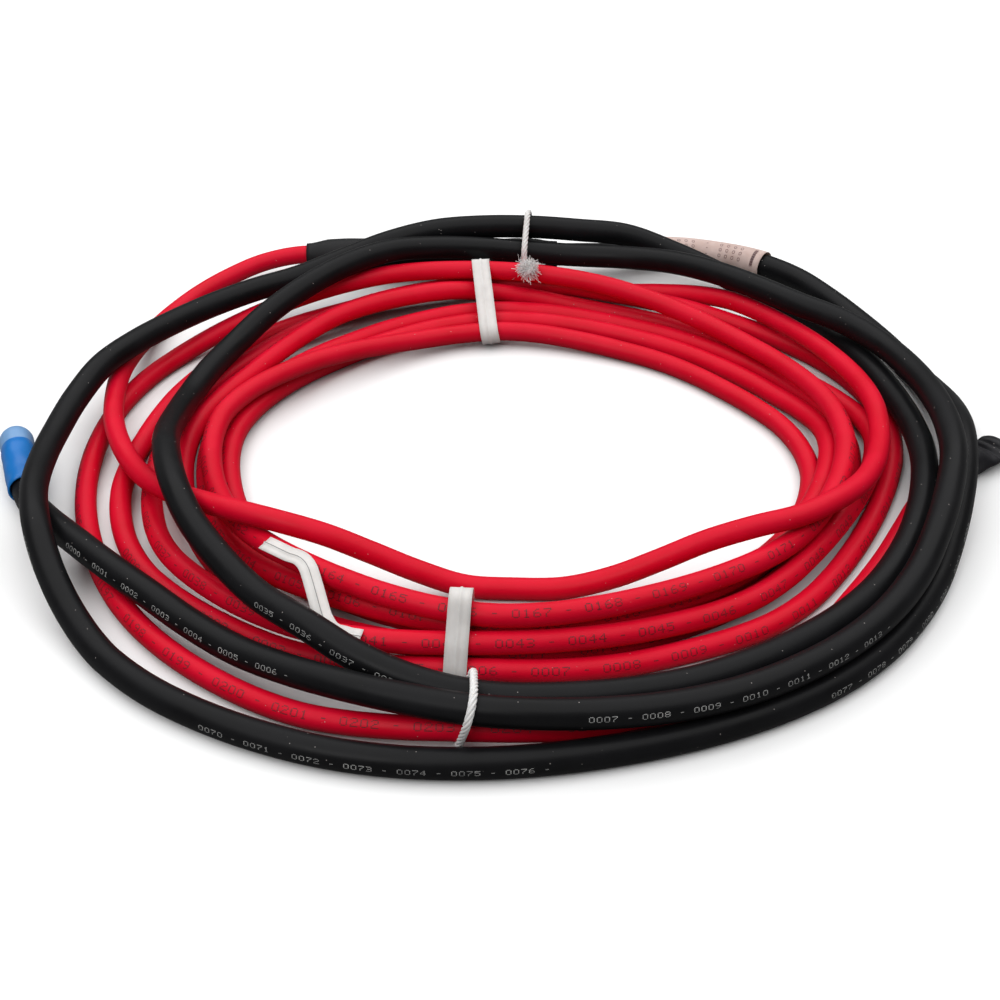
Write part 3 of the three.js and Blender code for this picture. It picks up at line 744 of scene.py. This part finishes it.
@dataclass
class SpliceSleeve:
    """Heat-shrunk tube over the splice of the two cables."""

    length: float = 0.099
    radius: float = 0.0065
    wall: float = 0.0008
    taper: float = 0.011
    waist: float = 0.035
    waist_waves: float = 190.0
    rows: int = 60
    steps: int = 40

    def build(self) -> None:
        """Builds the sleeve, with its cut ends and the bulges of what is inside."""
        red, black = (size / 2 + 0.0001 for size in (HEATING_DIAMETER, LEAD_DIAMETER))
        profile = [(red, SOCKET_DEPTH), (red, 0.0)]
        for row in range(self.rows + 1):
            place = self.length * row / self.rows
            from_left, from_right = (
                bore + self.wall + (self.radius - bore - self.wall) * eased(reach / self.taper)
                for bore, reach in ((red, place), (black, self.length - place)))
            bulge = 1 - self.waist * math.sin(place * self.waist_waves) ** 2
            profile.append((min(from_left, from_right, self.radius * bulge), place))
        profile += [(black, self.length), (black, self.length - SOCKET_DEPTH)]
        body = turned(profile, self.steps)
        roughened(body, 160.0, 0.00025)
        low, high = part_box("splice_sleeve")
        mouth = Vector((low.x, (low.y + high.y) / 2, (low.z + high.z) / 2))
        bmesh.ops.transform(body, matrix=frame_between(mouth, Vector((1.0, 0.0, 0.0))),
                            verts=body.verts)
        link_piece("splice_sleeve_shrunk", body, [SHRINK_SLEEVE], "splice_sleeve")


@dataclass
class EndSeal:
    """Seal on the heating cable's end, pressed flat and ribbed at its tip."""

    cable: Cable
    length: float = 0.030
    socket: float = 0.010
    radius: float = 0.0048
    half_width: float = 0.0066
    half_thickness: float = 0.0019
    press_start: float = 0.0125
    press_end: float = 0.0195
    ribs: tuple[float, ...] = (0.0212, 0.0248)
    rib_depth: float = 0.0013
    rib_width: float = 0.0009
    rounding: float = 0.003
    rings: int = 120
    steps: int = 48

    def build(self) -> bpy.types.Object:
        """Builds the seal from rings that grow flat and wide.

        Returns:
            The seal's object.
        """
        end, direction = self.cable.far_end()
        mouth = end - direction * self.socket
        frames = []
        for ring in range(self.rings + 1):
            place = self.length * ring / self.rings
            press = eased((place - self.press_start) / (self.press_end - self.press_start))
            wide = self.radius + (self.half_width - self.radius) * press
            thick = self.radius + (self.half_thickness - self.radius) * press
            for rib in self.ribs:
                thick -= self.rib_depth * press * math.exp(-((place - rib) / self.rib_width) ** 2)
            close = max(0.0, (place - self.length + self.rounding) / self.rounding)
            wide *= 1 - 0.34 * close ** 2.2
            thick *= 1 - 0.45 * close ** 3
            size = Matrix.Diagonal((wide, thick, 1.0, 1.0))
            frames.append(frame_between(mouth + direction * place, direction) @ size)
        angles = [2 * math.pi * step / self.steps for step in range(self.steps)]
        body = extruded_along([(math.cos(turn), math.sin(turn)) for turn in angles], frames, True)
        roughened(body, 260.0, 0.0003)
        return link_piece("end_seal_pressed", body, [PRESSED_SEAL], "end_seal")


@dataclass
class LeadCap:
    """Shrunk cap on the cold lead's free end, paler where nothing is inside it."""

    cable: Cable
    length: float = 0.033
    socket: float = 0.014
    radius: float = 0.00575
    tip: float = 0.0045
    pale_from: float = 0.0235
    edge: float = 0.0006
    wall: float = 0.0004
    neck: float = 0.05
    neck_width: float = 0.0016
    rows: int = 28
    tip_rows: int = 12
    steps: int = 48

    def build(self) -> bpy.types.Object:
        """Builds the cap with its open mouth and round tip.

        Returns:
            The cap's object.
        """
        bore = LEAD_DIAMETER / 2 + 0.0003
        profile = [(0.0, self.socket), (bore, self.socket), (bore, self.edge),
                   (bore + self.wall, 0.0), (self.radius - self.wall, 0.0),
                   (self.radius, self.edge)]
        straight = self.length - self.tip
        for row in range(1, self.rows + 1):
            place = self.edge + (straight - self.edge) * row / self.rows
            away = (place - self.pale_from) / self.neck_width
            profile.append((self.radius * (1 - self.neck * math.exp(-away ** 2)), place))
        for row in range(1, self.tip_rows + 1):
            turn = math.pi / 2 * row / self.tip_rows
            profile.append((self.radius - self.tip + self.tip * math.cos(turn),
                            straight + self.tip * math.sin(turn)))
        profile.append((0.0, self.length + self.wall))
        body = turned(profile, self.steps)
        for face in body.faces:
            face.material_index = int(face.calc_center_median().z > self.pale_from)
        roughened(body, 200.0, 0.0002)
        end, direction = self.cable.far_end()
        bmesh.ops.transform(body, matrix=frame_between(end - direction * self.socket, direction),
                            verts=body.verts)
        return link_piece("lead_end_cap_shrunk", body, [BLUE_CAP, PALE_CAP_TIP], "lead_end_cap")


@dataclass
class LeadLabel:
    """Printed paper wrapped once round the cold lead, with a dark bar and small numbers."""

    cable: Cable
    length: float = 0.044
    from_sleeve: float = 0.042
    inner: float = 0.0049
    outer: float = 0.0056
    overlap: float = math.radians(70)
    seam: float = math.radians(-120)
    thickness: float = 0.00014
    rings: int = 23
    corners: int = 56

    def build(self) -> list[bpy.types.Object]:
        """Builds the rolled paper and its lines of print.

        Returns:
            The paper's object and the objects of the print.
        """
        start = SOCKET_DEPTH + self.from_sleeve
        end = start + self.length
        section = []
        for corner in range(self.corners + 1):
            turn = self.seam + (2 * math.pi + self.overlap) * corner / self.corners
            reach = self.inner + (self.outer - self.inner) * corner / self.corners
            section.append((reach * math.cos(turn), reach * math.sin(turn)))
        along = np.linspace(start, end, self.rings)
        ahead, _, _ = self.cable.route.axes(along, coil_middle())
        shares = np.linspace(0, 1, self.rings)
        frames = []
        for place, way, share in zip(self.cable.route.at(along), ahead, shares):
            flare = 1.0 + 0.05 * abs(2 * share - 1) ** 3 + 0.02 * math.sin(9 * share)
            frames.append(frame_between(Vector(place), Vector(way)) @ Matrix.Scale(flare, 4))
        body = extruded_along(section, frames, False)
        bmesh.ops.solidify(body, geom=body.faces[:], thickness=self.thickness)
        bmesh.ops.recalc_face_normals(body, faces=body.faces)
        paper = link_piece("lead_label_paper", body, [LABEL_PAPER], "lead_label")
        surface = BVHTree.FromObject(paper, bpy.context.evaluated_depsgraph_get())
        rows = [PrintedLine(f"lead_label_row_{row}", self.cable.route, 2 * self.outer, LABEL_INK,
                            start=start + 0.004, end=end - 0.009, advance=0.0030,
                            dot_width=0.00024, dot_height=0.00040, roll=roll, roll_sway=0.0,
                            surface=surface)
                for row, roll in enumerate((104.0, 130.0, 156.0))]
        bar = PrintedLine("lead_label_bar", self.cable.route, 2 * self.outer, LABEL_INK,
                          start=end - 0.0055, end=end - 0.0030, advance=0.0024,
                          dot_width=0.00028, dot_height=0.0021, roll=130.0, roll_sway=0.0,
                          mark="|", surface=surface)
        return [paper, *(line.build() for line in (*rows, bar))]


# Bindings


@dataclass(frozen=True)
class BandPlane:
    """The upright plane in which a band runs round the strands that it holds."""

    node: str
    angle: float

    @property
    def turn(self) -> float:
        """The plane's angle from +X, in radians."""
        return math.radians(self.angle)

    @property
    def outwards(self) -> Vector:
        """Direction away from the coil's middle."""
        return Vector((math.cos(self.turn), math.sin(self.turn), 0.0))

    @property
    def across(self) -> Vector:
        """Direction along the strands."""
        return Vector((-math.sin(self.turn), math.cos(self.turn), 0.0))

    @property
    def origin(self) -> Vector:
        """A place in the middle of the band's width, on the floor."""
        middle = node_middle(self.node)
        return Vector((middle.x, middle.y, 0.0))

    def outline(self, inset: float) -> np.ndarray:
        """Finds the band's outline from its CAD solid.

        Args:
            inset: how far inside the solid's outer face the outline runs.

        Returns:
            Places outwards and up in the plane, evenly spaced and anticlockwise.
        """
        corners = [(vertex.co - self.origin).dot(self.outwards) for vertex in self.vertices()]
        heights = [vertex.co.z for vertex in self.vertices()]
        flat = [Vector(pair) for pair in zip(corners, heights)]
        hull = np.array([flat[number] for number in convex_hull_2d(flat)])
        closed = np.vstack([hull, hull[:1]])
        ring = Route.of(np.column_stack([closed, np.zeros(len(closed))])).spaced(0.0008)[:-1, :2]
        middle = ring.mean(axis=0)
        ahead = np.roll(ring, -2, axis=0) - np.roll(ring, 2, axis=0)
        inwards = np.column_stack([-ahead[:, 1], ahead[:, 0]])
        inwards /= np.linalg.norm(inwards, axis=1, keepdims=True)
        inwards *= np.where(np.sum(inwards * (middle - ring), axis=1, keepdims=True) < 0, -1, 1)
        ring = ring + inset * inwards
        for _ in range(3):
            ring = (np.roll(ring, 1, axis=0) + 2 * ring + np.roll(ring, -1, axis=0)) / 4
        return ring

    def vertices(self) -> bpy.types.bpy_prop_collection:
        """The corners of the band's CAD solid."""
        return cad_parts[self.node].data.vertices

    def place(self, outwards: float, height: float, across: float = 0.0) -> Vector:
        """Returns a place of the plane in the frame."""
        return self.origin + self.outwards * outwards + UP * height + self.across * across


@dataclass
class PaperTie:
    """A flat paper tie with a wire in its middle."""

    name: str
    plane: BandPlane
    width: float = 0.0066
    thickness: float = 0.0003
    wire: float = 0.00028
    slant: float = 0.0034
    inset: float = 0.0004
    lap: int = 4

    def section(self) -> list[tuple[float, float]]:
        """Returns the tie's section: flat paper with a low ridge over the wire."""
        half = self.width / 2
        return [(-half, 0.0), (-0.5 * half, 0.0), (-0.00055, 0.0), (-0.0003, 0.8 * self.wire),
                (0.0, self.wire), (0.0003, 0.8 * self.wire), (0.00055, 0.0), (0.5 * half, 0.0),
                (half, 0.0)]

    def strip(self, line: np.ndarray, faces: np.ndarray) -> bmesh.types.BMesh:
        """Lays the section along a line.

        Args:
            line: places of the tie's middle.
            faces: direction that the ridge faces at each place.

        Returns:
            The strip of paper with its thickness.
        """
        ahead = np.gradient(line, axis=0)
        frames = [frame_between(Vector(place), Vector(way), Vector(face))
                  for place, way, face in zip(line, ahead, faces)]
        body = extruded_along(self.section(), frames, False)
        bmesh.ops.solidify(body, geom=body.faces[:], thickness=self.thickness)
        bmesh.ops.recalc_face_normals(body, faces=body.faces)
        return body

    def loop(self) -> tuple[np.ndarray, np.ndarray]:
        """Returns the line round the strands and the direction it faces at each place."""
        ring = self.shaped(self.plane.outline(self.inset))
        ring = np.vstack([ring, ring[:self.lap]])
        middle = ring.mean(axis=0)
        tall = np.ptp(ring[:, 1])
        line = np.array([self.plane.place(x, z, self.slant * (z - middle[1]) / tall)
                         for x, z in ring])
        outer = ring - middle
        faces = np.array([self.plane.outwards * x + UP * z for x, z in outer])
        return line, faces

    def shaped(self, ring: np.ndarray) -> np.ndarray:
        """Returns the outline as it is, tight round the strands."""
        return ring

    def build(self) -> None:
        """Builds the tie."""
        link_piece(self.name, self.strip(*self.loop()), [TIE_PAPER], self.plane.node)


def photo_ray(pixel: tuple[float, float]) -> tuple[Vector, Vector]:
    """Returns the camera's place and the direction in which it sees a pixel."""
    across = (pixel[0] - PHOTO_AIM[0]) / PHOTO_FOCUS
    down = (pixel[1] - PHOTO_AIM[1]) / PHOTO_FOCUS
    cosine, sine = math.cos(CAMERA_ELEVATION), math.sin(CAMERA_ELEVATION)
    eye = coil_middle() + CAMERA_DISTANCE * Vector((0.0, -cosine, sine))
    ahead = Vector((0.0, cosine, -sine))
    above = Vector((0.0, sine, cosine))
    return eye, (ahead + across * Vector((1.0, 0.0, 0.0)) - down * above).normalized()


def nearest_hit(cables: list[Cable], origin: Vector, way: Vector) -> tuple[float, Vector] | None:
    """Returns how far a ray goes to the first of some cables, and where it meets it."""
    hits = [cable.surface.ray_cast(origin, way) for cable in cables]
    found = [(distance, place) for place, _, _, distance in hits if place is not None]
    return min(found, key=lambda hit: hit[0]) if found else None


@dataclass
class TailedTie(PaperTie):
    """The front tie, with an open bend on top and a long tail over the strands."""

    carriers: list[Cable] = field(default_factory=list)
    slant: float = 0.0008
    tail_width: float = 0.0054
    arch: float = 0.0030
    tail: tuple[tuple[float, float], ...] = ((247, 575), (268, 582), (290, 592), (309, 608),
                                             (327, 626), (345, 643), (362, 660))

    def shaped(self, ring: np.ndarray) -> np.ndarray:
        """Returns the outline with a loose bend at the top."""
        top = ring[:, 1].max()
        share = np.clip((ring[:, 1] - top + 0.008) / 0.008, 0.0, 1.0)
        raised = ring.copy()
        raised[:, 1] += self.arch * share ** 2
        return raised

    def tail_line(self) -> tuple[np.ndarray, np.ndarray]:
        """Lays the tail on the strands where the photograph shows it.

        Returns:
            The places of the tail's middle and the direction it faces at each.
        """
        hits = [nearest_hit(self.carriers, *photo_ray(pixel)) for pixel in self.tail]
        route = Route.through(np.array([hit[1] for hit in hits if hit]), 8)
        line = route.spaced(0.0015)
        for row, place in enumerate(line):
            above = [Vector((place[0], place[1] + step, 0.1)) for step in (-0.0025, 0.0, 0.0025)]
            hits = [nearest_hit(self.carriers, eye, -UP) for eye in above]
            line[row, 2] = max([hit[1].z for hit in hits if hit], default=0.0) + 0.0006
        crest = np.array([line[max(0, row - 5):row + 6, 2].max() for row in range(len(line))])
        padded = np.pad(crest, 5, mode="edge")
        line[:, 2] = np.convolve(padded, np.ones(11) / 11, mode="valid")
        faces = np.tile([0.0, -0.25, 1.0], (len(line), 1))
        return line, faces

    def build(self) -> None:
        """Builds the loop, the tail, and a thin grey tube on the tail's wire ridge, whose grey is
        painted shade of the ridge.
        """
        super().build()
        line, faces = self.tail_line()
        # Thin grey tube along the ridge over the wire: its grey is painted shade of the ridge.
        wire = swept_round([line + [0.0, 0.0, self.wire]], [0.45 * self.wire], 1)
        link_piece(self.name + "_ridge_painted_shade", wire, [TIE_RIDGE_SHADE])
        self.width = self.tail_width
        link_piece(self.name + "_tail", self.strip(line, faces), [TIE_PAPER])


@dataclass
class CottonString:
    """A cotton string of twisted plies round the strands."""

    name: str
    plane: BandPlane
    slant: float = 0.0
    plies: int = 5
    ply_radius: float = 0.00050
    lay_radius: float = 0.00066
    pitch: float = 0.0100

    def strands(self, line: np.ndarray) -> list[np.ndarray]:
        """Twists the plies round a line.

        Args:
            line: closely spaced points of the string's middle.

        Returns:
            The line of each ply.
        """
        ahead = np.gradient(line, axis=0)
        ahead /= np.linalg.norm(ahead, axis=1, keepdims=True)
        first = np.cross(ahead, np.array(self.plane.across))
        first /= np.linalg.norm(first, axis=1, keepdims=True)
        second = np.cross(ahead, first)
        along = Route.of(line).along
        twisted = []
        for ply in range(self.plies):
            turn = 2 * math.pi * (along / self.pitch + ply / self.plies)
            twisted.append(line + self.lay_radius * (first * np.cos(turn)[:, None]
                                                     + second * np.sin(turn)[:, None]))
        return twisted

    def loop_line(self) -> np.ndarray:
        """Returns the string's middle line round the strands."""
        ring = self.plane.outline(0.0008)
        closed = np.vstack([ring, ring[:1]])
        low, tall = closed[:, 1].min(), np.ptp(closed[:, 1])
        places = np.array([self.plane.place(x, max(z, 0.0013), self.slant * ((z - low) / tall - 0.5))
                           for x, z in closed])
        return Route.of(places).spaced(0.0004)

    def ends(self) -> tuple[list[np.ndarray], list[float]]:
        """Returns the lines and radii of the string's knot and loose fibres."""
        return [], []

    def build(self) -> None:
        """Builds the string, with whatever knot and fibres its ends give."""
        lines = self.strands(self.loop_line())
        radii = [self.ply_radius] * len(lines)
        more_lines, more_radii = self.ends()
        mesh = swept_round(lines + more_lines, radii + more_radii, 1)
        link_piece(self.name, mesh, [COTTON], self.plane.node)


@dataclass
class FrayedString(CottonString):
    """The back string, whose cut ends have opened into a ball of loose fibres."""

    carriers: list[Cable] = field(default_factory=list)
    knot_pixel: tuple[float, float] = (528.0, 269.0)
    ball_radius: float = 0.0042
    spread: float = 0.28
    curl: float = 0.8
    fibres: int = 800
    hitch: float = 0.0008
    hitch_radius: float = 0.0009
    seed: int = 11

    def knot_place(self) -> Vector:
        """Finds the knot's place on the strands, where the photograph shows it."""
        eye, way = photo_ray(self.knot_pixel)
        distance, _ = nearest_hit(self.carriers, eye, way)
        return eye + way * (distance - 0.75 * self.ball_radius)

    def ends(self) -> tuple[list[np.ndarray], list[float]]:
        """Returns the loose fibres of the ball, and the half hitch inside it."""
        draw = random.Random(self.seed)
        centre = self.knot_place()
        lines, radii = [], []
        for _ in range(self.fibres):
            way, bend, root = (Vector([draw.gauss(0, 1) for _ in range(3)]) for _ in range(3))
            way.normalize()
            root = centre + root * self.spread * self.ball_radius
            reach = self.ball_radius * draw.uniform(0.3, 0.65)
            steps = np.linspace(0.0, 1.0, 7)
            line = [root + way * reach * step + bend * self.curl * reach * step * (step - 0.4)
                    for step in steps]
            lines.append(np.array([[p.x, p.y, max(p.z, 0.0002)] for p in line]))
            radii.append(draw.uniform(0.00006, 0.00011))
        turns = np.linspace(0.0, 2 * math.pi, 60)
        hitch = np.array([(math.sin(t) + 2 * math.sin(2 * t), math.cos(t) - 2 * math.cos(2 * t),
                           -math.sin(3 * t)) for t in turns])
        lines.append(np.array(centre) + self.hitch * hitch)
        radii.append(self.hitch_radius)
        return lines, radii


# Setting


class Studio:
    """Pale floor, soft light and the photograph's camera."""

    def build(self) -> None:
        """Sets up the camera, the floor and the lights, with plain unshifted colours."""
        bpy.context.scene.view_settings.view_transform = "Standard"
        self.camera()
        self.floor()
        self.lights()

    @staticmethod
    def camera() -> None:
        """Puts the camera where the photograph was taken from."""
        data = bpy.data.cameras.new("photo_camera")
        data.sensor_width = SENSOR_WIDTH
        data.lens = SENSOR_WIDTH * PHOTO_FOCUS / PHOTO_SIZE
        data.shift_x = (PHOTO_SIZE / 2 - PHOTO_AIM[0]) / PHOTO_SIZE
        data.shift_y = (PHOTO_AIM[1] - PHOTO_SIZE / 2) / PHOTO_SIZE
        data.clip_start = 0.01
        eye = bpy.data.objects.new("photo_camera", data)
        eye.location = photo_ray(PHOTO_AIM)[0]
        eye.rotation_euler = (math.pi / 2 - CAMERA_ELEVATION, 0.0, 0.0)
        bpy.context.scene.collection.objects.link(eye)
        bpy.context.scene.camera = eye

    @staticmethod
    def floor() -> None:
        """Lays the pale floor."""
        body = bmesh.new()
        bmesh.ops.create_grid(body, x_segments=1, y_segments=1, size=6.0)
        mesh = mesh_of(body, "floor")
        made, tree, shader = new_material("floor_white", "ShaderNodeBsdfDiffuse")
        seen = tree.node("ShaderNodeLightPath").outputs["Is Camera Ray"]
        tree.link(tree.mix(seen, (0.22, 0.22, 0.22), (0.94, 0.94, 0.94)), shader.inputs["Color"])
        mesh.materials.append(made)
        floor = bpy.data.objects.new("floor", mesh)
        bpy.context.scene.collection.objects.link(floor)

    @staticmethod
    def lights() -> None:
        """Hangs one wide soft box over the coil and brightens the room a little."""
        world = bpy.data.worlds.new("room")
        world.use_nodes = True
        sky = world.node_tree.nodes["Background"].inputs
        sky["Color"].default_value = (1, 1, 1, 1)
        sky["Strength"].default_value = 0.14
        bpy.context.scene.world = world
        for name, place, size, power in (
                ("overhead_box", (0.0, 0.5, 1.5), (3.6, 3.6), 68.0),
                ("front_box", (-0.5, -0.9, 0.8), (0.6, 0.4), 3.0)):
            data = bpy.data.lights.new(name, "AREA")
            data.shape = "RECTANGLE"
            data.size, data.size_y = size
            data.energy = power
            lamp = bpy.data.objects.new(name, data)
            lamp.location = place
            if name == "front_box":
                lamp.rotation_euler = (-Vector(place)).to_track_quat("-Z", "Y").to_euler()
            bpy.context.scene.collection.objects.link(lamp)


def main() -> None:
    """Builds the setting and every piece of the coil, and reports each."""
    logging.basicConfig(level=logging.INFO, format="%(name)s: %(message)s")
    Studio().build()
    red = Cable("heating_cable", HEATING_DIAMETER, RED_SHEATH, 0.0022)
    black = Cable("cold_lead", LEAD_DIAMETER, BLACK_SHEATH, 0.0026)
    for cable in (red, black):
        cable.build()
        log.info("%s is %.3f m long", cable.node, cable.route.length)

    SpliceSleeve().build()
    seal = EndSeal(red).build()
    cap = LeadCap(black).build()
    label = LeadLabel(black).build()
    red.declare()
    black.declare()

    PrintedLine("heating_cable_figures", red.route, red.diameter / 2, DARK_INK, start=0.95,
                end=red.route.length - 0.06, advance=0.0029, dot_width=0.00044,
                dot_height=0.00036, roll=40.0).build()
    PrintedLine("cold_lead_figures", black.route, black.diameter / 2, PALE_INK, start=0.12,
                end=black.route.length - 0.06, advance=0.0020, dot_width=0.00030,
                dot_height=0.00023, roll=14.0, numbers=7, blank=40).build()

    PaperTie("back_paper_tie", BandPlane("tie_back", 92.0)).build()
    TailedTie("front_paper_tie", BandPlane("tie_front", 265.0), carriers=[red]).build()
    FrayedString("back_cotton_string", BandPlane("string_back", 84.0),
                 carriers=[red, black]).build()
    CottonString("front_cotton_string", BandPlane("string_front", 267.0), slant=0.0046).build()


if __name__ == "__main__":
    main()
